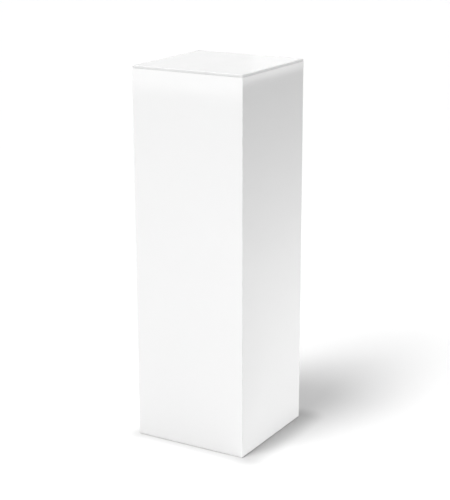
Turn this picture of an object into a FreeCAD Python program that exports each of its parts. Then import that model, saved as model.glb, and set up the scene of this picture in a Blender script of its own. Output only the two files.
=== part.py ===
"""White display pedestal: a hollow, laminated square column with a lift-off top and four levelling feet.

Millimetres, +Z up. The origin is the middle of the footprint, on the floor. The front faces -Y.
"""

import FreeCAD, Part
import math
import os

Vector = FreeCAD.Vector

# Case, measured over its finished faces
CASE_WIDTH = 292.1
CASE_DEPTH = 292.1
WALL_HEIGHT = 908.05
FLOOR_GAP = 1.0

# Walls: a fibreboard core, mitred at the corners, with a decorative laminate outside
CORE = 15.9
LAMINATE = 0.8
LAMINATE_ARRIS = 0.4

# Lid: an acrylic sheet taped to a board that drops inside the walls
TOP_SHEET = 6.35
TOP_SHEET_ARRIS = 0.6
TOP_SHEET_CORNER = 2.0
TAPE = 1.1
TAPE_WIDTH = 19.0
TAPE_MARGIN = 12.0
LID_BOARD = 18.0
LID_BOARD_FIT = 1.0
LID_BOARD_LEAD = 3.0

# Timber inside the case
BATTEN = 20.0
BATTEN_CHAMFER = 4.0
CLEAT_THICKNESS = 20.0
CLEAT_HEIGHT = 38.0
CLEAT_CHAMFER = 3.0
BASE_PANEL = 18.0

# Countersunk wood screws: how far they bite or stop short, and how far they stand from a cleat's ends
SCREW_SHANK = 4.0
SCREW_HEAD = 8.0
SCREW_TIP = 5.0
SCREW_FIT = 0.05
RECESS_SPAN = 3.8
RECESS_WIDTH = 1.1
RECESS_DEPTH = 1.6
CLEAT_SCREW_COVER = 5.9
CLEAT_SCREW_END = 35.0
BASE_SCREW_BITE = 12.0
BASE_SCREW_END = 50.0

# Pronged nuts, driven into the underside of the base panel
THREAD = 8.0
THREAD_FIT = 0.1
NUT_WALL = 1.1
NUT_BARREL_LENGTH = 10.0
NUT_FLANGE_REACH = 5.8
NUT_FLANGE_THICKNESS = 1.5
NUT_FIT = 0.05
PRONGS = 4
PRONG_LENGTH = 6.0
PRONG_WIDTH = 3.0
PRONG_THICKNESS = 1.2

# Levelling feet: a swivel pad snapped over the ball end of a threaded stem
PAD = 25.0
PAD_RIM = 3.0
PAD_ARRIS = 0.8
PAD_LIP = 2.0
BALL = 8.0
BALL_FLOOR = 2.0
BALL_FIT = 0.12
BALL_SOCKET_WALL = 2.4
NECK_CLEAR = 0.8
COLLAR_CLEAR = 0.5
COLLAR_ACROSS_FLATS = 13.0
COLLAR_HEIGHT = 4.0
COLLAR_SEAT_CLEAR = 0.2
FOOT_TRAVEL = 15.0
STEM_SPARE = 6.0
STEM_CHAMFER = 0.8
KEY_SOCKET_WALL = 0.9
KEY_SOCKET_DEPTH = 5.0
STEM_TO_CLEAT = 15.0

# Diameters that follow from the sizes above
NUT_BORE = THREAD + 2 * THREAD_FIT
NUT_BARREL = NUT_BORE + 2 * NUT_WALL
NUT_FLANGE = NUT_BARREL + 2 * NUT_FLANGE_REACH
BALL_SOCKET = BALL + 2 * BALL_FIT
PAD_BOSS = BALL_SOCKET + 2 * BALL_SOCKET_WALL
PAD_MOUTH = 2 * math.sqrt((BALL_SOCKET / 2) ** 2 - PAD_LIP**2)
NECK = PAD_MOUTH - 2 * NECK_CLEAR
KEY_SOCKET = THREAD - 2 * STEM_CHAMFER - 2 * KEY_SOCKET_WALL

# Heights that follow from them
BALL_CENTRE = BALL_FLOOR + BALL_SOCKET / 2
PAD_TOP = BALL_CENTRE + PAD_LIP
COLLAR_BOTTOM = PAD_TOP + COLLAR_CLEAR
COLLAR_TOP = COLLAR_BOTTOM + COLLAR_HEIGHT
NUT_UNDERSIDE = COLLAR_TOP + COLLAR_SEAT_CLEAR
BASE_UNDERSIDE = NUT_UNDERSIDE + NUT_FLANGE_THICKNESS
NUT_TOP = BASE_UNDERSIDE + NUT_BARREL_LENGTH
STEM_TOP = NUT_TOP + FOOT_TRAVEL + STEM_SPARE
BASE_TOP = BASE_UNDERSIDE + BASE_PANEL
RIM = FLOOR_GAP + WALL_HEIGHT
LID_BOARD_TOP = RIM - TAPE
LID_SEAT = LID_BOARD_TOP - LID_BOARD

# Each ring of cleats, from the height where it meets the lid or the base panel to its free height
TOP_CLEATS = (LID_SEAT, LID_SEAT - CLEAT_HEIGHT)
BASE_CLEATS = (BASE_TOP, BASE_TOP + CLEAT_HEIGHT)

# Distances in from the case's faces
WALL = LAMINATE + CORE
CLEAT_FACE = WALL + CLEAT_THICKNESS
FOOT_INSET = CLEAT_FACE + STEM_TO_CLEAT

# Lengths of the two kinds of screw
CLEAT_SCREW = CLEAT_THICKNESS + CORE - CLEAT_SCREW_COVER
BASE_SCREW = BASE_PANEL + BASE_SCREW_BITE

SIDES = {"front": 0, "right": 90, "rear": 180, "left": 270}
CORNERS = {"front_left": (-1, -1), "front_right": (1, -1), "rear_right": (1, 1), "rear_left": (-1, 1)}
ORIGIN = Vector(0, 0, 0)
X_AXIS = Vector(1, 0, 0)
Z_AXIS = Vector(0, 0, 1)
EDGE_TOLERANCE = 1e-5


# Shapes that several pieces use


def block(x, y, z):
    """A box from its (low, high) pairs along X, Y and Z."""
    return Part.makeBox(x[1] - x[0], y[1] - y[0], z[1] - z[0], Vector(x[0], y[0], z[0]))


def outlined(points):
    """A flat face inside a closed run of points."""
    return Part.Face(Part.makePolygon(points + points[:1]))


def prism(outline, bottom, top):
    """An upright prism over an outline of (x, y) points."""
    return outlined([Vector(x, y, bottom) for x, y in outline]).extrude(Vector(0, 0, top - bottom))


def lathe(profile):
    """A solid turned about the Z axis from a profile of (radius, height) points."""
    return outlined([Vector(r, 0, z) for r, z in profile]).revolve(ORIGIN, Z_AXIS, 360)


def rod(diameter, bottom, top):
    """An upright round bar on the Z axis."""
    return Part.makeCylinder(diameter / 2, top - bottom, Vector(0, 0, bottom))


def hexagon(across_corners, bottom, top):
    """An upright hexagonal bar on the Z axis."""
    radius = across_corners / 2
    angles = [math.radians(60 * step) for step in range(6)]
    return prism([(radius * math.cos(angle), radius * math.sin(angle)) for angle in angles], bottom, top)


def level_edges(shape, height):
    """The edges of a shape that lie flat at one height."""
    return [e for e in shape.Edges if all(abs(v.Z - height) < EDGE_TOLERANCE for v in e.Vertexes)]


def upright_edges(shape):
    """The edges of a shape that run straight up."""
    return [e for e in shape.Edges if max(e.BoundBox.XLength, e.BoundBox.YLength) < EDGE_TOLERANCE]


def moved(shape, place):
    """A piece carried from the origin to a place."""
    shape.translate(place)
    return shape


def turned(shape, angle):
    """A piece made at the front, turned about the case's middle to another wall."""
    shape.rotate(ORIGIN, Z_AXIS, angle)
    return shape


def half_case(angle, inset):
    """Half the case along the wall at that angle, and out to it, each less an inset from the case's faces."""
    halves = (CASE_WIDTH / 2 - inset, CASE_DEPTH / 2 - inset)
    return halves if angle % 180 == 0 else halves[::-1]


def half_cleat(angle):
    """Half the length of a cleat, which ends clear of the battens and of the cleats on the next walls."""
    along, _ = half_case(angle, WALL)
    return along - max(BATTEN, CLEAT_THICKNESS)


def foot_places():
    """The axis of each levelling foot, by corner."""
    x, y = half_case(0, FOOT_INSET)
    return {name: Vector(sign_x * x, sign_y * y, 0) for name, (sign_x, sign_y) in CORNERS.items()}


# Wood screws


def screw_blank(length, gap):
    """A countersunk screw, driven up from its head at the origin, grown by a gap to make its hole."""
    head = SCREW_HEAD / 2
    shank = SCREW_SHANK / 2
    profile = [
        (0, -gap),
        (head + 2 * gap, -gap),
        (shank + gap, head - shank),
        (shank + gap, length - SCREW_TIP),
        (0, length + gap),
    ]
    return lathe(profile)


def screw(length):
    """One screw, with a cross recess in its head."""
    span = (-RECESS_SPAN / 2, RECESS_SPAN / 2)
    width = (-RECESS_WIDTH / 2, RECESS_WIDTH / 2)
    depth = (0, RECESS_DEPTH)
    return screw_blank(length, 0).cut([block(span, width, depth), block(width, span, depth)])


def screw_hole(length):
    """The hole that one screw fills."""
    return screw_blank(length, SCREW_FIT)


def cleat_screws(cleats, make):
    """Two screws, or holes, through each cleat of one ring and out into the wall behind it."""
    placed = []
    for angle in SIDES.values():
        _, out = half_case(angle, CLEAT_FACE)
        for along in (CLEAT_SCREW_END - half_cleat(angle), half_cleat(angle) - CLEAT_SCREW_END):
            one = make(CLEAT_SCREW)
            one.rotate(ORIGIN, X_AXIS, 90)
            placed.append(turned(moved(one, Vector(along, -out, sum(cleats) / 2)), angle))
    return placed


def base_screws(make):
    """Two screws, or holes, up through the base panel into each base cleat."""
    placed = []
    for angle in SIDES.values():
        _, out = half_case(angle, WALL + CLEAT_THICKNESS / 2)
        for along in (BASE_SCREW_END - half_cleat(angle), half_cleat(angle) - BASE_SCREW_END):
            placed.append(turned(moved(make(BASE_SCREW), Vector(along, -out, BASE_UNDERSIDE)), angle))
    return placed


# Walls


def wall_core(angle, holes):
    """A fibreboard wall with mitred upright edges, bored for the screws that end in it."""
    along, out = half_case(angle, LAMINATE)
    inner_along, inner_out = half_case(angle, WALL)
    outline = [(-along, -out), (along, -out), (inner_along, -inner_out), (-inner_along, -inner_out)]
    return turned(prism(outline, FLOOR_GAP, RIM), angle).cut(holes)


def lapping_laminate(angle):
    """The sheet on the front or rear wall: it laps over the side sheets' edges, and its corners are eased."""
    along, out = half_case(angle, 0)
    back = LAMINATE - out
    eased = along - LAMINATE_ARRIS
    ease = LAMINATE_ARRIS - out
    outline = [(-eased, -out), (eased, -out), (along, ease), (along, back), (-along, back), (-along, ease)]
    return turned(prism(outline, FLOOR_GAP, RIM), angle)


def side_laminate(angle):
    """The sheet on a side wall, let in between the front and rear sheets."""
    along, out = half_case(angle, 0)
    half = along - LAMINATE
    return turned(block((-half, half), (-out, LAMINATE - out), (FLOOR_GAP, RIM)), angle)


# Timber inside the case


def corner_batten(sign_x, sign_y):
    """A square batten glued up an inside corner, its free corner chamfered."""
    x, y = half_case(0, WALL)
    cut = BATTEN - BATTEN_CHAMFER
    outline = [(0, 0), (BATTEN, 0), (BATTEN, cut), (cut, BATTEN), (0, BATTEN)]
    return prism([(sign_x * (x - u), sign_y * (y - v)) for u, v in outline], BASE_TOP, LID_SEAT)


def cleat(angle, cleats, holes):
    """A rail screwed along a wall between the corner battens, its inner edge chamfered at the free height."""
    seat, free = cleats
    half = half_cleat(angle)
    _, wall = half_case(angle, WALL)
    _, face = half_case(angle, CLEAT_FACE)
    chamfered = free + math.copysign(CLEAT_CHAMFER, seat - free)
    profile = [(-wall, seat), (-face, seat), (-face, chamfered), (-face - CLEAT_CHAMFER, free), (-wall, free)]
    rail = outlined([Vector(-half, y, z) for y, z in profile]).extrude(Vector(2 * half, 0, 0))
    return turned(rail, angle).cut(holes)


def base_panel(holes):
    """The plywood floor of the case, let in between the walls and bored for the nuts and screws."""
    x, y = half_case(0, WALL)
    return block((-x, x), (-y, y), (BASE_UNDERSIDE, BASE_TOP)).cut(holes)


# Pronged nuts


def nut_prongs(gap):
    """The prongs bent up from a nut's flange, grown by a gap to make their slots."""
    rim = NUT_FLANGE / 2
    reach = (rim - PRONG_THICKNESS - gap, rim + gap)
    width = (-PRONG_WIDTH / 2 - gap, PRONG_WIDTH / 2 + gap)
    height = (BASE_UNDERSIDE, BASE_UNDERSIDE + PRONG_LENGTH + gap)
    return [turned(block(reach, width, height), step * 360 / PRONGS) for step in range(PRONGS)]


def pronged_nut():
    """A flange below the base panel, a barrel and prongs up inside it, and a thread bore."""
    flange = rod(NUT_FLANGE, NUT_UNDERSIDE, BASE_UNDERSIDE)
    barrel = rod(NUT_BARREL, NUT_UNDERSIDE, NUT_TOP)
    prongs = [prong.common(rod(NUT_FLANGE, BASE_UNDERSIDE, NUT_TOP)) for prong in nut_prongs(0)]
    return flange.fuse([barrel] + prongs).removeSplitter().cut(rod(NUT_BORE, NUT_UNDERSIDE, NUT_TOP))


def nut_hole():
    """What a nut takes out of the base panel: a straight hole for its barrel, and the prongs' slots."""
    return rod(NUT_BARREL + 2 * NUT_FIT, BASE_UNDERSIDE, BASE_TOP).fuse(nut_prongs(NUT_FIT))


# Levelling feet


def foot_pad():
    """The pad that stands on the floor: a disc with a boss, whose socket closes in over the stem's ball."""
    radius = PAD / 2
    boss = PAD_BOSS / 2
    profile = [
        (0, 0),
        (radius - PAD_ARRIS, 0),
        (radius, PAD_ARRIS),
        (radius, PAD_RIM - PAD_ARRIS),
        (radius - PAD_ARRIS, PAD_RIM),
        (boss + PAD_ARRIS, PAD_RIM + PAD_ARRIS),
        (boss, PAD_RIM + 2 * PAD_ARRIS),
        (boss, PAD_TOP),
        (0, PAD_TOP),
    ]
    return lathe(profile).cut(Part.makeSphere(BALL_SOCKET / 2, Vector(0, 0, BALL_CENTRE)))


def foot_stem():
    """The threaded stem: ball end, neck, spanner collar, and a shank with a key socket in its top."""
    ball = Part.makeSphere(BALL / 2, Vector(0, 0, BALL_CENTRE))
    neck = rod(NECK, BALL_CENTRE, COLLAR_BOTTOM)
    collar = hexagon(COLLAR_ACROSS_FLATS / math.cos(math.radians(30)), COLLAR_BOTTOM, COLLAR_TOP)
    shank = rod(THREAD, COLLAR_TOP, STEM_TOP)
    shank = shank.makeChamfer(STEM_CHAMFER, level_edges(shank, STEM_TOP))
    key_socket = hexagon(KEY_SOCKET, STEM_TOP - KEY_SOCKET_DEPTH, STEM_TOP)
    return ball.fuse([neck, collar, shank]).cut(key_socket)


# Lid


def top_sheet():
    """The acrylic top, flush with the case's faces, with rounded corners and eased edges."""
    x, y = half_case(0, 0)
    top = RIM + TOP_SHEET
    sheet = block((-x, x), (-y, y), (RIM, top))
    sheet = sheet.makeFillet(TOP_SHEET_CORNER, upright_edges(sheet))
    return sheet.makeChamfer(TOP_SHEET_ARRIS, level_edges(sheet, RIM) + level_edges(sheet, top))


def lid_board():
    """The board under the sheet, that drops inside the walls onto the top cleats. Its lower edges lead in."""
    x, y = half_case(0, WALL + LID_BOARD_FIT)
    board = block((-x, x), (-y, y), (LID_SEAT, LID_BOARD_TOP))
    return board.makeChamfer(LID_BOARD_LEAD, level_edges(board, LID_SEAT))


def lid_tape():
    """Four strips of double-sided tape in a square, between the board and the sheet."""
    strips = []
    for angle in SIDES.values():
        along, out = half_case(angle, WALL + LID_BOARD_FIT + TAPE_MARGIN)
        strip = block((-along, along - TAPE_WIDTH), (-out, TAPE_WIDTH - out), (LID_BOARD_TOP, RIM))
        strips.append(turned(strip, angle))
    return strips


# The assembly, with one node for each piece or group of like fasteners


def assembly():
    """Every node of the pedestal, by name."""
    cleat_holes = cleat_screws(TOP_CLEATS, screw_hole) + cleat_screws(BASE_CLEATS, screw_hole)
    base_holes = base_screws(screw_hole)
    feet = foot_places()
    nodes = {}
    for side, angle in SIDES.items():
        nodes[side + "_core"] = wall_core(angle, cleat_holes)
        nodes["top_cleat_" + side] = cleat(angle, TOP_CLEATS, cleat_holes)
        nodes["base_cleat_" + side] = cleat(angle, BASE_CLEATS, cleat_holes + base_holes)
    for side in ("front", "rear"):
        nodes[side + "_laminate"] = lapping_laminate(SIDES[side])
    for side in ("right", "left"):
        nodes[side + "_laminate"] = side_laminate(SIDES[side])
    for corner, signs in CORNERS.items():
        nodes["corner_batten_" + corner] = corner_batten(*signs)
        nodes["foot_pad_" + corner] = moved(foot_pad(), feet[corner])
        nodes["foot_stem_" + corner] = moved(foot_stem(), feet[corner])
    nodes["base_panel"] = base_panel(base_holes + [moved(nut_hole(), place) for place in feet.values()])
    nodes["pronged_nuts"] = Part.makeCompound([moved(pronged_nut(), place) for place in feet.values()])
    nodes["top_cleat_screws"] = Part.makeCompound(cleat_screws(TOP_CLEATS, screw))
    nodes["base_cleat_screws"] = Part.makeCompound(cleat_screws(BASE_CLEATS, screw))
    nodes["base_panel_screws"] = Part.makeCompound(base_screws(screw))
    nodes["top_sheet"] = top_sheet()
    nodes["lid_board"] = lid_board()
    nodes["lid_tape"] = Part.makeCompound(lid_tape())
    return nodes


def main():
    """Writes one STEP file for each node, and prints what it holds."""
    os.makedirs("parts", exist_ok=True)
    for name, shape in assembly().items():
        shape.exportStep(os.path.join("parts", name + ".step"))
        volume = sum(solid.Volume for solid in shape.Solids)
        print(f"{name}: {len(shape.Solids)} solid(s), {volume / 1000:.2f} cm3, valid {shape.isValid()}")


main()
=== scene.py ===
"""Looks of the white display pedestal: its skin, lid, timber and feet, on a white floor in soft light.

Metres, +Z up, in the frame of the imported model. The front faces -Y.
"""

import math

import bpy
import numpy as np
from mathutils import Matrix, Vector


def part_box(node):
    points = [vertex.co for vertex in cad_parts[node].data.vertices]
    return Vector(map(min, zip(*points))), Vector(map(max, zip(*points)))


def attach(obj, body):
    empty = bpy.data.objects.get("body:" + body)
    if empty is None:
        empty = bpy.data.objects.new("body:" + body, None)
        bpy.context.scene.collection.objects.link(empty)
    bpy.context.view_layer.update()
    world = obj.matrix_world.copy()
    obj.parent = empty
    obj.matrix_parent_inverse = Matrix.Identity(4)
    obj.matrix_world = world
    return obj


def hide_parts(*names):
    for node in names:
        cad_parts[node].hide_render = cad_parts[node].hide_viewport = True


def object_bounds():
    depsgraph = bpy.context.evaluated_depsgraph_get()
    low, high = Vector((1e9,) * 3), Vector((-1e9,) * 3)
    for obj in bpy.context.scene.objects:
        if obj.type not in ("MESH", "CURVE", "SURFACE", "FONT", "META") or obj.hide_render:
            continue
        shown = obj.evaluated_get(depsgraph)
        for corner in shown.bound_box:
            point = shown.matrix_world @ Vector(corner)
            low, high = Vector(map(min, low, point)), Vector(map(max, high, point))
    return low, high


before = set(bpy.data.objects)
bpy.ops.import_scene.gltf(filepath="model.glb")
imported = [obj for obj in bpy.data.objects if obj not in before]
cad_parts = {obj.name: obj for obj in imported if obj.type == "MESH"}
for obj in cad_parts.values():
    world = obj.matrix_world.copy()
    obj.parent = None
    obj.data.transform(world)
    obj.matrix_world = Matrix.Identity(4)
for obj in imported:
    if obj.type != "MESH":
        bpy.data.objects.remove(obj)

CAD_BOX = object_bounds()
MM = 0.001

SIDES = ("front", "right", "rear", "left")
CORNERS = {"front_left": (-1, -1), "front_right": (1, -1), "rear_right": (1, 1), "rear_left": (-1, 1)}

# Edges and corners, as a maker eases them
LAMINATE_ARRIS = 0.4 * MM
LAMINATE_BUTT = 0.12 * MM
SHEET_CORNER = 2.0 * MM
SHEET_ARRIS = 0.6 * MM
BOARD_CORNER = 1.5 * MM
BOARD_LEAD = 3.0 * MM
SANDED_EDGE = 0.5 * MM
BATTEN_CHAMFER = 4.0 * MM
PLANED_EDGE = 1.2 * MM
FLAT_MARGIN = 1.0 * MM
LEAST_RADIUS = 0.02 * MM
CORNER_STEPS = 8
END_STEPS = 6
SHARP_ANGLE = math.radians(32)

# Levelling feet: a pad snapped over the ball of a stem with a rolled M8 thread
PAD_RIM = 3.0 * MM
PAD_ARRIS = 0.8 * MM
PAD_LIP = 2.0 * MM
PAD_FLOOR = 2.0 * MM
SOCKET_RADIUS = 4.12 * MM
SOCKET_ENDS = math.radians(-85)
SOCKET_STEPS = 24
BOSS_RADIUS = 6.52 * MM
BALL_RADIUS = 4.0 * MM
BALL_STARTS = math.radians(-84)
BALL_STEPS = 22
NECK_RADIUS = 2.8 * MM
COLLAR_FLATS = 13.0 * MM
COLLAR_HEIGHT = 4.0 * MM
COLLAR_CLEAR = 0.5 * MM
COLLAR_CHAMFER = 0.55 * MM
COLLAR_FACE_INSET = 0.1 * MM
COLLAR_CONE = math.radians(30)
COLLAR_STEPS = 6
THREAD_RADIUS = 4.0 * MM
THREAD_PITCH = 1.25 * MM
THREAD_DEPTH = 0.62 * MM
THREAD_RUNOUT = 1.6 * MM
THREAD_STEEPNESS = 1.25
THREAD_CREST = 0.1
STEM_CHAMFER = 0.8 * MM
KEY_FLATS = 4.0 * MM
KEY_DEPTH = 5.0 * MM
STEPS_PER_PITCH = 12
TURN_POINTS = 72
ROUND = np.linspace(0, 2 * np.pi, TURN_POINTS, endpoint=False)


# Meshes worked out as whole arrays


def put_mesh(name, body, node, rings, material):
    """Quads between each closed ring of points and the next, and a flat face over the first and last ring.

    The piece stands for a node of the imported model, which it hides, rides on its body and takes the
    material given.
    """
    count, points = rings.shape[:2]
    here = np.arange(points)
    ahead = np.roll(here, -1)
    start = points * np.arange(count - 1)[:, None]
    quads = np.stack([start + here, start + ahead, start + points + ahead, start + points + here], axis=-1)
    faces = quads.reshape(-1, 4).tolist()
    faces.append(here[::-1].tolist())
    faces.append((here + points * (count - 1)).tolist())
    mesh = bpy.data.meshes.new(name)
    mesh.from_pydata(rings.reshape(-1, 3), [], faces)
    mesh.shade_smooth()
    mesh.set_sharp_from_angle(angle=SHARP_ANGLE)
    mesh.materials.append(material)
    piece = bpy.data.objects.new(name, mesh)
    bpy.context.scene.collection.objects.link(piece)
    flatten = piece.modifiers.new("flat_faces_stay_flat", "WEIGHTED_NORMAL")
    flatten.keep_sharp = True
    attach(piece, body)
    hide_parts(node)


def prism_rings(corners, radii, insets, heights):
    """Rings of an upright prism over a plan whose corners are taken anticlockwise.

    At each height every side moves in by that height's inset. A corner is an arc that touches its two
    sides: its centre lies on the mitre line, one radius in from both, and the radius shrinks by the inset.
    """
    corners = np.asarray(corners, float)
    along = np.roll(corners, -1, axis=0) - corners
    along /= np.linalg.norm(along, axis=1, keepdims=True)
    leaving = np.stack([-along[:, 1], along[:, 0]], axis=1)
    arriving = np.roll(leaving, 1, axis=0)
    mitre = (arriving + leaving) / (1 + np.sum(arriving * leaving, axis=1, keepdims=True))
    insets = np.asarray(insets, float)[:, None]
    radii = np.maximum(np.asarray(radii, float)[None] - insets, LEAST_RADIUS)
    centres = corners[None] + mitre[None] * (insets + radii)[..., None]
    first = np.arctan2(-arriving[:, 1], -arriving[:, 0])
    sweep = np.arctan2(
        arriving[:, 0] * leaving[:, 1] - arriving[:, 1] * leaving[:, 0], np.sum(arriving * leaving, axis=1)
    )
    angles = first[:, None] + sweep[:, None] * np.linspace(0, 1, CORNER_STEPS)
    arcs = np.stack([np.cos(angles), np.sin(angles)], axis=-1)
    plan = centres[:, :, None] + radii[..., None, None] * arcs[None]
    plan = plan.reshape(len(insets), -1, 2)
    upright = np.broadcast_to(np.asarray(heights, float)[:, None, None], plan.shape[:2] + (1,))
    return np.concatenate([plan, upright], axis=-1)


def quarter_round(ease):
    """Insets and rises along a quarter circle that leads from an end face round to the upright sides."""
    turn = np.linspace(0, np.pi / 2, END_STEPS)
    return ease * (1 - np.sin(turn)), ease * (1 - np.cos(turn))


def eased_ends(bottom, top, ease):
    """Insets and heights of upright sides that turn into both end faces by quarter circles."""
    inset, rise = quarter_round(ease)
    return np.concatenate([inset, inset[::-1]]), np.concatenate([bottom + rise, top - rise[::-1]])


def with_margins(insets, heights):
    """The same insets and heights, with a flat margin further in on both end faces."""
    insets = np.concatenate([insets[:1] + FLAT_MARGIN, insets, insets[-1:] + FLAT_MARGIN])
    heights = np.concatenate([heights[:1], heights, heights[-1:]])
    return insets, heights


def rectangle(low, high):
    """The plan of a box, anticlockwise from its lowest corner."""
    return [(low.x, low.y), (high.x, low.y), (high.x, high.y), (low.x, high.y)]


def turned_rings(centre, radii, heights):
    """Rings about an upright axis, with a radius for each height, or for each height and each angle."""
    radii = np.asarray(radii, float)
    if radii.ndim == 1:
        radii = np.repeat(radii[:, None], TURN_POINTS, axis=1)
    heights = np.broadcast_to(np.asarray(heights, float)[:, None], radii.shape)
    x = centre.x + radii * np.cos(ROUND)
    y = centre.y + radii * np.sin(ROUND)
    return np.stack([x, y, heights], axis=-1)


def hexagon_radius(across_flats):
    """Distance from the axis to a hexagon's side at each angle: half the width across flats over the cosine
    of the angle from the middle of that side."""
    from_middle = np.mod(ROUND, np.pi / 3) - np.pi / 6
    return across_flats / 2 / np.cos(from_middle)


# Node trees


def feed(tree, sockets, inputs):
    """Values for a node's sockets, by name or number: a socket is linked, and any other value is set."""
    for name, value in inputs.items():
        if isinstance(value, bpy.types.NodeSocket):
            tree.links.new(value, sockets[name])
        else:
            sockets[name].default_value = value


def wire(tree, kind, inputs=None, **settings):
    """A shader node with its settings and inputs."""
    node = tree.nodes.new(kind)
    for name, value in settings.items():
        setattr(node, name, value)
    feed(tree, node.inputs, inputs or {})
    return node


def new_finish(name):
    """An empty procedural material: itself, its tree, its shader and its Object coordinates."""
    material = bpy.data.materials.new(name)
    material.use_nodes = True
    tree = material.node_tree
    shader = tree.nodes["Principled BSDF"]
    place = wire(tree, "ShaderNodeTexCoord").outputs["Object"]
    return material, tree, shader, place


def stretched(tree, place, scale, turn=(0, 0, 0)):
    """Coordinates turned, then stretched by a scale along each axis."""
    turned = wire(tree, "ShaderNodeMapping", {"Vector": place, "Rotation": turn}).outputs["Vector"]
    return wire(tree, "ShaderNodeMapping", {"Vector": turned, "Scale": scale}).outputs["Vector"]


def noise(tree, place, scale=1.0, detail=2.0, roughness=0.5):
    """Cloudy noise between 0 and 1, with a scale in clouds to the metre."""
    inputs = {"Vector": place, "Scale": scale, "Detail": detail, "Roughness": roughness}
    return wire(tree, "ShaderNodeTexNoise", inputs).outputs["Fac"]


def calc(tree, operation, first, second=0.0, third=0.0):
    """One step of arithmetic."""
    return wire(tree, "ShaderNodeMath", {0: first, 1: second, 2: third}, operation=operation).outputs[0]


def ranged(tree, value, low, high, to_low, to_high, smooth=False):
    """A value carried from one range to another and held at its ends."""
    kind = "SMOOTHSTEP" if smooth else "LINEAR"
    inputs = {"Value": value, "From Min": low, "From Max": high, "To Min": to_low, "To Max": to_high}
    return wire(tree, "ShaderNodeMapRange", inputs, interpolation_type=kind).outputs["Result"]


def blended(tree, factor, first, second):
    """Two colours mixed by a factor. Several of the node's sockets share a name; those in use are on."""
    node = wire(tree, "ShaderNodeMix", data_type="RGBA")
    sockets = {socket.name: socket for socket in node.inputs if socket.enabled}
    feed(tree, sockets, {"Factor": factor, "A": first, "B": second})
    return next(socket for socket in node.outputs if socket.enabled)


def split(tree, place):
    """The X, Y and Z of a point."""
    node = wire(tree, "ShaderNodeSeparateXYZ", {"Vector": place})
    return node.outputs["X"], node.outputs["Y"], node.outputs["Z"]


def levelness(tree):
    """How squarely a surface faces up or down: 1 on level faces and 0 on upright ones."""
    upward = split(tree, wire(tree, "ShaderNodeNewGeometry").outputs["Normal"])[2]
    return calc(tree, "ABSOLUTE", upward)


def relief(tree, shader, height, depth):
    """Fine relief on a shader's surface, with its depth in metres."""
    bump = wire(tree, "ShaderNodeBump", {"Height": height, "Distance": depth, "Strength": 1.0})
    tree.links.new(bump.outputs["Normal"], shader.inputs["Normal"])


def grey(value):
    """A neutral colour."""
    return (value, value, value, 1.0)


# Finishes: colours in linear light, and the sizes of wear, grain and spread light

LAMINATE_WHITES = grey(0.855), grey(0.885)
RUBBED_WHITE = (0.72, 0.72, 0.70, 1)
ARRIS_WEAR_STARTS = 1.6 * MM
ARRIS_WEAR_FULL = 0.2 * MM
KICK_WEAR_STARTS = 9.0 * MM
KICK_WEAR_FULL = 0.5 * MM
OPAL_FACES = grey(0.785), grey(0.815)
# The rims' whites are darker, partly as a buffed edge and partly as painted shade along the sheet's edge.
OPAL_RIMS_WITH_PAINTED_SHADE = grey(0.745), grey(0.775)
OPAL_DEPTH = 6.0 * MM
ACRYLIC_IOR = 1.49
FIBRE_BROWNS = (0.25, 0.155, 0.082, 1), (0.52, 0.365, 0.215, 1)
SOFTWOOD_PALES = (0.70, 0.52, 0.31, 1), (0.56, 0.39, 0.21, 1)
LATE_WOOD = (0.40, 0.225, 0.095, 1)
AGED_WOOD = (0.50, 0.34, 0.18, 1)
YEAR_RING = 3.4 * MM
PLANER_RIPPLE = 2.1 * MM
BIRCH_VENEERS = (0.70, 0.54, 0.35, 1), (0.60, 0.43, 0.25, 1)
BIRCH_PORE = (0.44, 0.29, 0.15, 1)
LONG_GRAINS = (0.72, 0.55, 0.34, 1), (0.58, 0.41, 0.23, 1)
END_GRAINS = (0.30, 0.185, 0.09, 1), (0.50, 0.34, 0.185, 1)
GLUE_LINE = (0.16, 0.09, 0.045, 1)
PLY_THICKNESS = 1.4 * MM
BRIGHT_ZINCS = (0.66, 0.67, 0.69, 1), (0.50, 0.51, 0.54, 1)
YELLOW_ZINCS = (0.74, 0.60, 0.31, 1), (0.62, 0.45, 0.24, 1)
NYLON_BLACKS = (0.018, 0.018, 0.019, 1), (0.055, 0.054, 0.052, 1)
FOAM_WHITES = (0.62, 0.62, 0.59, 1), (0.80, 0.80, 0.78, 1)


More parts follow.
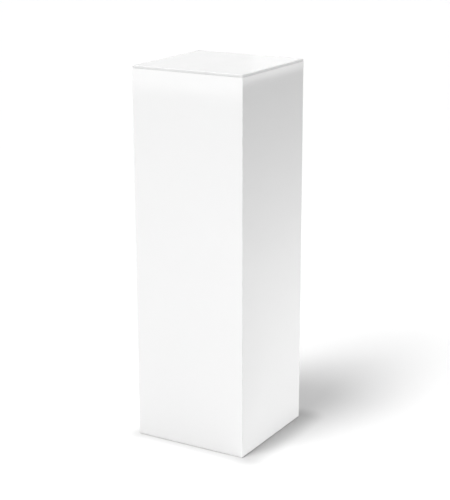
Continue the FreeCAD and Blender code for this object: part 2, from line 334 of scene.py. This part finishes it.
def white_laminate_finish():
    """White decorative laminate: a faint mottle and a pressed satin skin, rubbed a little duller along the
    upright arrises and the bottom."""
    material, tree, shader, place = new_finish("white_laminate_satin")
    case_low, case_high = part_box("front_laminate")
    half = case_high.x
    bottom = case_low.z
    x, y, z = split(tree, place)
    corner = calc(tree, "MINIMUM", calc(tree, "ABSOLUTE", x), calc(tree, "ABSOLUTE", y))
    at_corner = ranged(tree, corner, half - ARRIS_WEAR_STARTS, half - ARRIS_WEAR_FULL, 0, 1, smooth=True)
    at_floor = ranged(tree, z, bottom + KICK_WEAR_STARTS, bottom + KICK_WEAR_FULL, 0, 1, smooth=True)
    scuffs = ranged(tree, noise(tree, place, scale=70, detail=5, roughness=0.7), 0.42, 0.72, 0, 1)
    rubbed = calc(tree, "MULTIPLY", calc(tree, "MAXIMUM", at_corner, at_floor), scuffs)
    mottle = noise(tree, place, scale=6, detail=3)
    fleck = noise(tree, place, scale=1500, detail=1)
    tone = calc(tree, "ADD", calc(tree, "MULTIPLY", mottle, 0.6), calc(tree, "MULTIPLY", fleck, 0.4))
    white = blended(tree, tone, *LAMINATE_WHITES)
    worn = blended(tree, calc(tree, "MULTIPLY", rubbed, 0.5), white, RUBBED_WHITE)
    tree.links.new(worn, shader.inputs["Base Color"])
    haze = ranged(tree, noise(tree, place, scale=45, detail=4, roughness=0.6), 0.3, 0.7, 0.06, 0.085)
    dulled = calc(tree, "MULTIPLY_ADD", rubbed, 0.2, haze)
    tree.links.new(dulled, shader.inputs["Roughness"])
    peel = noise(tree, place, scale=330, detail=2, roughness=0.4)
    relief(tree, shader, peel, depth=0.02 * MM)
    return material


def opal_acrylic_finish():
    """Opal white cast acrylic: light spreads inside the sheet, its face is polished, and its buffed edge is
    duller, with a darker colour that is partly the buffed edge and partly painted shade along the sheet's
    edge."""
    material, tree, shader, place = new_finish("white_acrylic_opal")
    on_edge = ranged(tree, levelness(tree), 0.3, 0.9, 1, 0)
    cloud = noise(tree, place, scale=12, detail=2)
    face = blended(tree, cloud, *OPAL_FACES)
    # Partly painted shade: the upright edges take a darker copy of the face's white.
    rim_with_painted_shade = blended(tree, cloud, *OPAL_RIMS_WITH_PAINTED_SHADE)
    tree.links.new(blended(tree, on_edge, face, rim_with_painted_shade), shader.inputs["Base Color"])
    shader.inputs["Subsurface Weight"].default_value = 1.0
    shader.inputs["Subsurface Radius"].default_value = (1.0, 1.0, 1.0)
    shader.inputs["Subsurface Scale"].default_value = OPAL_DEPTH
    shader.inputs["IOR"].default_value = ACRYLIC_IOR
    wiped = noise(tree, stretched(tree, place, (90, 9, 90), turn=(0, 0, 0.5)), detail=4, roughness=0.65)
    buffed = noise(tree, stretched(tree, place, (60, 60, 2600)), detail=2)
    gloss = ranged(tree, wiped, 0.3, 0.7, 0.07, 0.12)
    dull = calc(tree, "MULTIPLY_ADD", on_edge, 0.12, gloss)
    tree.links.new(dull, shader.inputs["Roughness"])
    relief(tree, shader, calc(tree, "MULTIPLY", buffed, on_edge), depth=0.01 * MM)
    return material


def fibreboard_finish():
    """Raw fibreboard: short pressed fibres among paler and darker clumps."""
    material, tree, shader, place = new_finish("fibreboard_raw")
    fibres = noise(tree, stretched(tree, place, (900, 900, 500)), detail=5, roughness=0.7)
    clumps = noise(tree, place, scale=160, detail=3, roughness=0.6)
    tone = calc(tree, "ADD", calc(tree, "MULTIPLY", fibres, 0.65), calc(tree, "MULTIPLY", clumps, 0.35))
    spread = ranged(tree, tone, 0.32, 0.68, 0, 1)
    tree.links.new(blended(tree, spread, *FIBRE_BROWNS), shader.inputs["Base Color"])
    tree.links.new(ranged(tree, fibres, 0.3, 0.7, 0.92, 0.78), shader.inputs["Roughness"])
    shader.inputs["Specular IOR Level"].default_value = 0.25
    relief(tree, shader, tone, depth=0.25 * MM)
    return material


def softwood_finish(name, turn):
    """Planed softwood, its grain along Z before the turn: yearly rings cut lengthways, fine resin streaks,
    planer ripples across the length."""
    material, tree, shader, place = new_finish(name)
    along = stretched(tree, place, (1, 1, 1), turn=turn)
    sway = noise(tree, stretched(tree, along, (6, 6, 1.5)), detail=2)
    x, y, z = split(tree, along)
    ring_place = calc(tree, "MULTIPLY_ADD", y, 0.45, x)
    swayed = calc(tree, "MULTIPLY_ADD", sway, 0.03, ring_place)
    ring = calc(tree, "FRACT", calc(tree, "MULTIPLY", swayed, 1 / YEAR_RING))
    late = calc(tree, "POWER", ring, 2.5)
    streaks = noise(tree, stretched(tree, along, (1400, 1400, 22)), detail=3, roughness=0.6)
    pale = blended(tree, streaks, *SOFTWOOD_PALES)
    grain = blended(tree, calc(tree, "MULTIPLY", late, 0.75), pale, LATE_WOOD)
    blotch = ranged(tree, noise(tree, along, scale=9, detail=2), 0.3, 0.7, 0, 0.22)
    tree.links.new(blended(tree, blotch, grain, AGED_WOOD), shader.inputs["Base Color"])
    tree.links.new(ranged(tree, late, 0, 1, 0.68, 0.5), shader.inputs["Roughness"])
    shader.inputs["Specular IOR Level"].default_value = 0.35
    ripple = calc(tree, "SINE", calc(tree, "MULTIPLY", z, 2 * math.pi / PLANER_RIPPLE))
    ridge = calc(tree, "MULTIPLY_ADD", late, 0.8, calc(tree, "MULTIPLY", streaks, 0.6))
    relief(tree, shader, calc(tree, "MULTIPLY_ADD", ripple, 0.06, ridge), depth=0.08 * MM)
    return material


def birch_plywood_finish():
    """Sanded birch plywood: rotary-cut figure on its faces, and at its edges plies that turn from long
    grain to end grain, with dark glue lines."""
    material, tree, shader, place = new_finish("plywood_birch")
    on_face = ranged(tree, levelness(tree), 0.75, 0.95, 0, 1)
    sway = noise(tree, stretched(tree, place, (9, 2.2, 9)), detail=3, roughness=0.55)
    figure = calc(tree, "FRACT", calc(tree, "MULTIPLY", sway, 9))
    hill = calc(tree, "ABSOLUTE", calc(tree, "SUBTRACT", figure, 0.5))
    pores = noise(tree, stretched(tree, place, (1600, 60, 1600)), detail=3, roughness=0.6)
    veneer = blended(tree, ranged(tree, hill, 0, 0.5, 0, 1), *BIRCH_VENEERS)
    face = blended(tree, ranged(tree, pores, 0.45, 0.75, 0, 0.5), veneer, BIRCH_PORE)
    ply = calc(tree, "MULTIPLY", split(tree, place)[2], 1 / PLY_THICKNESS)
    layer = calc(tree, "FRACT", ply)
    crossed = calc(tree, "FLOORED_MODULO", calc(tree, "FLOOR", ply), 2)
    end_grain = noise(tree, stretched(tree, place, (2200, 2200, 900)), detail=3)
    long_grain = noise(tree, stretched(tree, place, (70, 70, 2200)), detail=3)
    light_ply = blended(tree, long_grain, *LONG_GRAINS)
    dark_ply = blended(tree, end_grain, *END_GRAINS)
    plies = blended(tree, crossed, light_ply, dark_ply)
    from_middle = calc(tree, "ABSOLUTE", calc(tree, "SUBTRACT", layer, 0.5))
    edge = blended(tree, ranged(tree, from_middle, 0.42, 0.47, 0, 0.8), plies, GLUE_LINE)
    tree.links.new(blended(tree, on_face, edge, face), shader.inputs["Base Color"])
    tree.links.new(ranged(tree, pores, 0.3, 0.7, 0.52, 0.68), shader.inputs["Roughness"])
    shader.inputs["Specular IOR Level"].default_value = 0.35
    ridges = calc(tree, "ADD", pores, calc(tree, "MULTIPLY", crossed, 0.5))
    relief(tree, shader, ridges, depth=0.06 * MM)
    return material


def zinc_finish(name, zincs, rough):
    """Zinc-plated steel: cloudy passivation, dulled by fine handling scratches."""
    material, tree, shader, place = new_finish(name)
    cloud = noise(tree, place, scale=240, detail=4, roughness=0.6)
    colour = blended(tree, ranged(tree, cloud, 0.32, 0.68, 0, 1), *zincs)
    tree.links.new(colour, shader.inputs["Base Color"])
    shader.inputs["Metallic"].default_value = 1.0
    scratches = noise(tree, stretched(tree, place, (4200, 500, 900), turn=(0.3, 0.2, 0.7)), detail=3)
    tree.links.new(ranged(tree, scratches, 0.3, 0.7, rough, rough + 0.16), shader.inputs["Roughness"])
    relief(tree, shader, scratches, depth=0.012 * MM)
    return material


def black_nylon_finish():
    """Moulded black nylon: fine spark-eroded grain and a slight cloudy bloom."""
    material, tree, shader, place = new_finish("nylon_black")
    grain = noise(tree, place, scale=2600, detail=2)
    bloom = ranged(tree, noise(tree, place, scale=170, detail=4, roughness=0.65), 0.45, 0.75, 0, 0.5)
    tree.links.new(blended(tree, bloom, *NYLON_BLACKS), shader.inputs["Base Color"])
    tree.links.new(ranged(tree, grain, 0.3, 0.7, 0.36, 0.52), shader.inputs["Roughness"])
    relief(tree, shader, grain, depth=0.04 * MM)
    return material


def foam_tape_finish():
    """White foam tape: small round cells, darker and duller at their middles."""
    material, tree, shader, place = new_finish("tape_white_foam")
    cells = wire(tree, "ShaderNodeTexVoronoi", {"Vector": place, "Scale": 2600.0}).outputs["Distance"]
    colour = blended(tree, ranged(tree, cells, 0, 0.7, 0, 1), *FOAM_WHITES)
    tree.links.new(colour, shader.inputs["Base Color"])
    tree.links.new(ranged(tree, cells, 0, 0.7, 0.9, 0.7), shader.inputs["Roughness"])
    relief(tree, shader, cells, depth=0.1 * MM)
    return material


LAMINATE = white_laminate_finish()
ACRYLIC = opal_acrylic_finish()
FIBREBOARD = fibreboard_finish()
SOFTWOOD_UPRIGHT = softwood_finish("softwood_upright", (0, 0, 0))
SOFTWOOD_WIDTH = softwood_finish("softwood_along_width", (0, math.radians(90), 0))
SOFTWOOD_DEPTH = softwood_finish("softwood_along_depth", (math.radians(90), 0, 0))
PLYWOOD = birch_plywood_finish()
ZINC = zinc_finish("zinc_bright", BRIGHT_ZINCS, rough=0.24)
YELLOW_ZINC = zinc_finish("zinc_yellow", YELLOW_ZINCS, rough=0.26)
NYLON = black_nylon_finish()
FOAM = foam_tape_finish()


# Skin of the case


def laminate_sheet(side):
    """A laminate sheet carried up the wall. The front and rear sheets lap the others and have rounder
    arrises."""
    node = side + "_laminate"
    low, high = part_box(node)
    lapping = side in ("front", "rear")
    outer_low = side in ("front", "left")
    outer = LAMINATE_ARRIS if lapping else LAMINATE_BUTT
    inner = LAMINATE_BUTT
    if lapping:
        radii = [outer, outer, inner, inner] if outer_low else [inner, inner, outer, outer]
    else:
        radii = [outer, inner, inner, outer] if outer_low else [inner, outer, outer, inner]
    insets, heights = eased_ends(low.z, high.z, LAMINATE_BUTT)
    rings = prism_rings(rectangle(low, high), radii, insets, heights)
    put_mesh("skin_" + side, "case", node, rings, LAMINATE)


# Lid


def acrylic_top():
    """The acrylic sheet: a square plan with rounded corners, its arrises eased as quarter circles."""
    low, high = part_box("top_sheet")
    insets, heights = with_margins(*eased_ends(low.z, high.z, SHEET_ARRIS))
    rings = prism_rings(rectangle(low, high), [SHEET_CORNER] * 4, insets, heights)
    put_mesh("acrylic_top", "lid", "top_sheet", rings, ACRYLIC)


def plywood_plug():
    """The board under the sheet: a chamfer leads it into the case, and its upper edge is sanded round."""
    low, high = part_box("lid_board")
    inset, rise = quarter_round(SANDED_EDGE)
    insets = np.concatenate([[BOARD_LEAD, 0.0], inset[::-1]])
    heights = np.concatenate([[low.z, low.z + BOARD_LEAD], high.z - rise[::-1]])
    insets, heights = with_margins(insets, heights)
    rings = prism_rings(rectangle(low, high), [BOARD_CORNER] * 4, insets, heights)
    put_mesh("plywood_plug", "lid", "lid_board", rings, PLYWOOD)


# Timber


def corner_post(corner):
    """A batten carried up an inside corner, its free corner chamfered and its edges planed off."""
    node = "corner_batten_" + corner
    low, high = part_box(node)
    sign_x, sign_y = CORNERS[corner]
    wall = Vector((high.x if sign_x > 0 else low.x, high.y if sign_y > 0 else low.y))
    free = Vector((low.x if sign_x > 0 else high.x, low.y if sign_y > 0 else high.y))
    cut_x = free.x + sign_x * BATTEN_CHAMFER
    cut_y = free.y + sign_y * BATTEN_CHAMFER
    plan = [(wall.x, wall.y), (free.x, wall.y), (free.x, cut_y), (cut_x, free.y), (wall.x, free.y)]
    if sign_x * sign_y < 0:
        plan.reverse()
    insets, heights = with_margins(*eased_ends(low.z, high.z, SANDED_EDGE))
    rings = prism_rings(plan, [PLANED_EDGE] * len(plan), insets, heights)
    put_mesh("corner_post_" + corner, "case", node, rings, SOFTWOOD_UPRIGHT)


# Levelling feet


def foot_places():
    """The axis of each foot, from the middle of its pad."""
    return {corner: sum(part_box("foot_pad_" + corner), Vector()) / 2 for corner in CORNERS}


def swivel_pad(corner, axis):
    """A pad turned from its profile: rounded rim, a sweep up to the boss, then down inside the socket."""
    low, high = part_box("foot_pad_" + corner)
    radius = (high.x - low.x) / 2
    ball = low.z + PAD_FLOOR + SOCKET_RADIUS
    quarter = np.linspace(0, np.pi / 2, END_STEPS)
    edge_r = radius - PAD_ARRIS
    under = edge_r + PAD_ARRIS * np.sin(quarter), low.z + PAD_ARRIS * (1 - np.cos(quarter))
    over = edge_r + PAD_ARRIS * np.cos(quarter), low.z + PAD_RIM - PAD_ARRIS * (1 - np.sin(quarter))
    sweep = np.linspace(0, np.pi / 2, 2 * END_STEPS)[1:]
    rise = 2 * PAD_ARRIS
    reach = edge_r - BOSS_RADIUS
    slope = edge_r - reach * np.sin(sweep), low.z + PAD_RIM + rise * (1 - np.cos(sweep))
    lip_r = math.sqrt(SOCKET_RADIUS**2 - PAD_LIP**2)
    boss_ease = PAD_ARRIS / 2
    brim = BOSS_RADIUS - boss_ease * (1 - np.cos(quarter)), high.z - boss_ease * (1 - np.sin(quarter))
    lip_angle = math.asin(PAD_LIP / SOCKET_RADIUS)
    hollow = np.linspace(lip_angle, SOCKET_ENDS, SOCKET_STEPS)
    socket = SOCKET_RADIUS * np.cos(hollow), ball + SOCKET_RADIUS * np.sin(hollow)
    mouth = np.array([lip_r + boss_ease / 2]), np.array([high.z])
    start = np.array([FLAT_MARGIN, edge_r - FLAT_MARGIN]), np.full(2, low.z)
    runs = [start, under, over, slope, brim, mouth, socket]
    radii = np.concatenate([run[0] for run in runs])
    heights = np.concatenate([run[1] for run in runs])
    rings = turned_rings(axis, radii, heights)
    put_mesh("swivel_pad_" + corner, "pad_" + corner, "foot_pad_" + corner, rings, NYLON)


def threaded_stem(corner, axis):
    """A stem turned about its axis: ball, neck, chamfered hexagon collar, rolled thread and key socket.

    The thread's radius is the outside radius less a rounded V that repeats once each pitch, shifted by the
    angle over a whole turn, so that the V climbs as a helix. It fades out towards the collar and the end. A
    hexagon's radius is cut to a cone at the collar's two ends.
    """
    collar_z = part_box("foot_pad_" + corner)[1].z + COLLAR_CLEAR
    low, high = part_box("foot_stem_" + corner)
    ball = low.z + BALL_RADIUS
    neck_angle = math.acos(NECK_RADIUS / BALL_RADIUS)
    arc = np.linspace(BALL_STARTS, neck_angle, BALL_STEPS)
    ones = np.ones(TURN_POINTS)
    ball_r = BALL_RADIUS * np.cos(arc)[:, None] * ones
    ball_z = ball + BALL_RADIUS * np.sin(arc)
    lower_end = np.linspace(0, COLLAR_CHAMFER, COLLAR_STEPS)
    upper_end = np.linspace(COLLAR_HEIGHT - COLLAR_CHAMFER, COLLAR_HEIGHT, COLLAR_STEPS)
    up_collar = np.concatenate([lower_end, upper_end])
    from_end = np.minimum(up_collar, COLLAR_HEIGHT - up_collar)
    cone = COLLAR_FLATS / 2 - COLLAR_FACE_INSET + from_end / math.tan(COLLAR_CONE)
    collar_r = np.minimum(hexagon_radius(COLLAR_FLATS)[None], cone[:, None])
    shank_z = np.arange(collar_z + COLLAR_HEIGHT, high.z, THREAD_PITCH / STEPS_PER_PITCH)
    turn_share = np.linspace(0, 1, TURN_POINTS, endpoint=False)
    phase = np.mod(shank_z[:, None] / THREAD_PITCH - turn_share[None], 1)
    valley = np.clip(THREAD_STEEPNESS * (1 - np.abs(2 * phase - 1)) - THREAD_CREST, 0, 1)
    fade_in = np.clip((shank_z - shank_z[0]) / THREAD_RUNOUT, 0, 1)
    fade_out = np.clip((high.z - shank_z) / STEM_CHAMFER, 0, 1)
    thread = THREAD_RADIUS - THREAD_DEPTH * valley * (fade_in * fade_out)[:, None]
    end_r = THREAD_RADIUS - STEM_CHAMFER
    end_cone = end_r + (high.z - shank_z)
    thread = np.minimum(thread, end_cone[:, None])
    neck_r = np.full((2, TURN_POINTS), NECK_RADIUS)
    neck_z = [collar_z - COLLAR_CLEAR, collar_z]
    key_r = hexagon_radius(KEY_FLATS)
    key_z = [high.z, high.z, high.z - KEY_DEPTH]
    radii = np.concatenate([ball_r, neck_r, collar_r, thread, [end_r * ones, key_r, key_r]])
    heights = np.concatenate([ball_z, neck_z, collar_z + up_collar, shank_z, key_z])
    rings = turned_rings(axis, radii, heights)
    put_mesh("threaded_stem_" + corner, "stem_" + corner, "foot_stem_" + corner, rings, ZINC)


def dress_nodes():
    """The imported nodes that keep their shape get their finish."""
    finishes = {"base_panel": PLYWOOD, "lid_tape": FOAM, "pronged_nuts": ZINC}
    for screws in ("top_cleat_screws", "base_cleat_screws", "base_panel_screws"):
        finishes[screws] = YELLOW_ZINC
    for side in SIDES:
        finishes[side + "_core"] = FIBREBOARD
        rail = SOFTWOOD_WIDTH if side in ("front", "rear") else SOFTWOOD_DEPTH
        finishes["top_cleat_" + side] = rail
        finishes["base_cleat_" + side] = rail
    for node, finish in finishes.items():
        for material_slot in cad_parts[node].material_slots:
            material_slot.material = finish


for side in SIDES:
    laminate_sheet(side)
acrylic_top()
plywood_plug()
for corner, axis in foot_places().items():
    corner_post(corner)
    swivel_pad(corner, axis)
    threaded_stem(corner, axis)
dress_nodes()


# Floor, light and camera: paints and brightness as shares of white, turns in degrees

FLOOR_HALF = 30.0

# The floor's white where it is seen, with a painted shadow that darkens it within a width of the case
FLOOR_SEEN = 0.94
FLOOR_PAINTED_SHADE = 0.69
PAINTED_SHADE_WIDTH = 0.06
PAINTED_SHADE_CENTRE = (0.012, 0.006, 0.0)

# Distances between which that white fades out of mirrors
WHITE_NEAR = 0.8
WHITE_ENDS = 6.0

# The floor's paint in the light that it sends back, darker close to the case, between two distances
FLOOR_PAINT = 0.45
FLOOR_CLOSE = 0.24
CLOSE_FROM = 0.18
CLOSE_ENDS = 0.36

# The room's level of light, and its slope along X, Y and Z
ROOM_LIGHT = 0.53
ROOM_SLOPE = (-0.53, 0.0, 0.0)

# Watts to the square metre at which a lamp looks as bright as white paper
WHITE_WATTS = 4.0
KEYS = {
    "front_key": {"turn": -16, "rise": 51, "spread": 22, "strength": 0.76},
    "high_key": {"turn": -22, "rise": 69, "spread": 20, "strength": 1.07},
    "low_key": {"turn": -12, "rise": 8, "spread": 24, "strength": 0.83},
}
SOFTBOXES = {
    "front_strip": {
        "place": (-1.1, -1.9, 0.596), "facing": (0, 1, 0), "size": (1.2, 0.15), "brightness": 1.3,
    },
    "right_strip": {
        "place": (1.146, 1.635, 0.761), "facing": (-1, 0, 0), "size": (0.97, 0.382), "brightness": 1.5,
    },
    "rear_box": {
        "place": (-0.84, 2.06, 1.35), "facing": (0.38, -0.93, 0), "size": (0.4, 0.7), "brightness": 0.1,
    },
}
BOUNCES = {
    "side_panel": {
        "place": (1.6, 0.0, 0.2), "facing": (-1, 0, 0), "size": (2.0, 0.4), "brightness": 3.3,
    },
    "floor_card": {
        "place": (0.473, 0.29, 0.0008), "facing": (0, 0, 1), "size": (0.653, 0.95), "brightness": 0.63,
    },
}

# Photograph's view: lens and place of the camera, fitted to the edges of the column
FILM = 36.0
LENS = 98.8
EYE = (1.6317, -2.7551, 1.3789)
VIEW_DOWN = 16.045
VIEW_TURN = 30.414
VIEW_ROLL = -0.138


def beside_case(tree, place):
    """Distance outside the case's plan, about the painted shadow's centre: how far X and Y lie past the
    half plan, not less than 0, and the length of the two together."""
    half_plan = (CAD_BOX[1].x, CAD_BOX[1].y, 0.0)
    nothing = (0.0, 0.0, 0.0)
    apart = place
    for step, other in (
        ("SUBTRACT", PAINTED_SHADE_CENTRE), ("ABSOLUTE", nothing), ("SUBTRACT", half_plan), ("MAXIMUM", nothing),
    ):
        apart = wire(tree, "ShaderNodeVectorMath", {0: apart, 1: other}, operation=step).outputs["Vector"]
    return wire(tree, "ShaderNodeVectorMath", {0: apart}, operation="LENGTH").outputs["Value"]


def white_floor():
    """A matt floor. Where it is seen it is white, with a painted shadow that darkens it close round the
    case. The light that it sends back is that of a greyer paint, darkest near the case. In mirrors the
    white gives way to that paint a few metres off, as on a lit sheet in a larger room."""
    material = bpy.data.materials.new("floor_white")
    material.use_nodes = True
    tree = material.node_tree
    tree.nodes.clear()
    place = wire(tree, "ShaderNodeTexCoord").outputs["Object"]
    distance = wire(tree, "ShaderNodeVectorMath", {0: place}, operation="LENGTH").outputs["Value"]
    near = ranged(tree, distance, WHITE_NEAR, WHITE_ENDS, 1, 0, smooth=True)
    path = wire(tree, "ShaderNodeLightPath").outputs
    mirrored = calc(tree, "MULTIPLY", path["Is Glossy Ray"], near)
    straight = calc(tree, "MAXIMUM", path["Is Camera Ray"], path["Is Transmission Ray"])
    seen = calc(tree, "MAXIMUM", straight, mirrored)
    bounce = ranged(tree, distance, CLOSE_FROM, CLOSE_ENDS, FLOOR_CLOSE, FLOOR_PAINT, smooth=True)
    paint = wire(tree, "ShaderNodeBsdfDiffuse", {"Color": bounce}).outputs[0]
    beside = beside_case(tree, place)
    # Painted shadow: the seen white turns darker within a small width round the case, its centre shifted
    # away from the keys.
    white = ranged(tree, beside, 0, PAINTED_SHADE_WIDTH, FLOOR_PAINTED_SHADE, FLOOR_SEEN, smooth=True)
    shown = wire(tree, "ShaderNodeBsdfDiffuse", {"Color": white}).outputs[0]
    both = wire(tree, "ShaderNodeMixShader", {0: seen, 1: paint, 2: shown}).outputs[0]
    wire(tree, "ShaderNodeOutputMaterial", {"Surface": both})
    mesh = bpy.data.meshes.new("floor")
    half = FLOOR_HALF
    outline = [(-half, -half, 0), (half, -half, 0), (half, half, 0), (-half, half, 0)]
    mesh.from_pydata(outline, [], [(0, 1, 2, 3)])
    mesh.materials.append(material)
    floor = bpy.data.objects.new("floor", mesh)
    bpy.context.scene.collection.objects.link(floor)


def seen_directly(tree):
    """1 for rays from the camera, a mirror or glass, and 0 for rays that light a surface."""
    path = wire(tree, "ShaderNodeLightPath").outputs
    seen = calc(tree, "MAXIMUM", path["Is Camera Ray"], path["Is Glossy Ray"])
    return calc(tree, "MAXIMUM", seen, path["Is Transmission Ray"])


def white_room():
    """White to the camera, a mirror or glass. On surfaces, soft light from all round: none from the right,
    and more by an even slope towards the left."""
    world = bpy.data.worlds.new("white_room")
    world.use_nodes = True
    tree = world.node_tree
    tree.nodes.clear()
    way = wire(tree, "ShaderNodeTexCoord").outputs["Generated"]
    inputs = {0: way, 1: ROOM_SLOPE}
    slope = wire(tree, "ShaderNodeVectorMath", inputs, operation="DOT_PRODUCT").outputs["Value"]
    light = calc(tree, "ADD", slope, ROOM_LIGHT)
    strength = ranged(tree, seen_directly(tree), 0, 1, light, 1.0)
    room = wire(tree, "ShaderNodeBackground", {"Color": grey(1.0), "Strength": strength}).outputs[0]
    wire(tree, "ShaderNodeOutputWorld", {"Surface": room})
    bpy.context.scene.world = world


def put_lamp(lamp, place, aim):
    """A lamp at a place, turned to face the point that it is aimed at."""
    holder = bpy.data.objects.new(lamp.name, lamp)
    holder.location = place
    holder.rotation_euler = (Vector(aim) - Vector(place)).to_track_quat("-Z", "Y").to_euler()
    bpy.context.scene.collection.objects.link(holder)
    return holder


def key_lamp(name, turn, rise, spread, strength):
    """A soft key light far off: turned from the front towards the right, risen from the floor, and as wide
    as its spread, all in degrees."""
    turn, rise = math.radians(turn), math.radians(rise)
    lamp = bpy.data.lights.new(name, "SUN")
    lamp.angle = math.radians(spread)
    lamp.energy = strength
    towards = (math.sin(turn) * math.cos(rise), -math.cos(turn) * math.cos(rise), math.sin(rise))
    put_lamp(lamp, towards, (0, 0, 0))


def softbox(name, place, facing, size, brightness):
    """A rectangular lamp that faces a direction."""
    lamp = bpy.data.lights.new(name, "AREA")
    lamp.shape = "RECTANGLE"
    lamp.size, lamp.size_y = size
    lamp.energy = WHITE_WATTS * size[0] * size[1] * brightness
    return put_lamp(lamp, place, Vector(place) + Vector(facing))


def studio_light():
    """Three keys from the left of the front, one of them low; two strips that show as bright bands under
    the top edge; a box behind that shows in the top sheet; and a low panel and a floor card, unseen in
    mirrors, that lift the right face."""
    for name, key in KEYS.items():
        key_lamp(name, **key)
    for name, box in SOFTBOXES.items():
        softbox(name, **box)
    for name, box in BOUNCES.items():
        softbox(name, **box).visible_glossy = False


def photo_camera():
    """The photograph's camera. Its sensor lies along the picture's long side."""
    lens = bpy.data.cameras.new("photo_camera")
    lens.sensor_fit = "AUTO"
    lens.sensor_width = FILM
    lens.lens = LENS
    camera = bpy.data.objects.new("photo_camera", lens)
    turn = Matrix.Rotation(math.radians(VIEW_TURN), 4, "Z")
    tilt = Matrix.Rotation(math.radians(90 - VIEW_DOWN), 4, "X")
    roll = Matrix.Rotation(math.radians(VIEW_ROLL), 4, "Z")
    camera.matrix_world = Matrix.Translation(EYE) @ turn @ tilt @ roll
    bpy.context.scene.collection.objects.link(camera)
    bpy.context.scene.camera = camera


white_floor()
white_room()
studio_light()
photo_camera()
bpy.context.scene.view_settings.view_transform = "Standard"
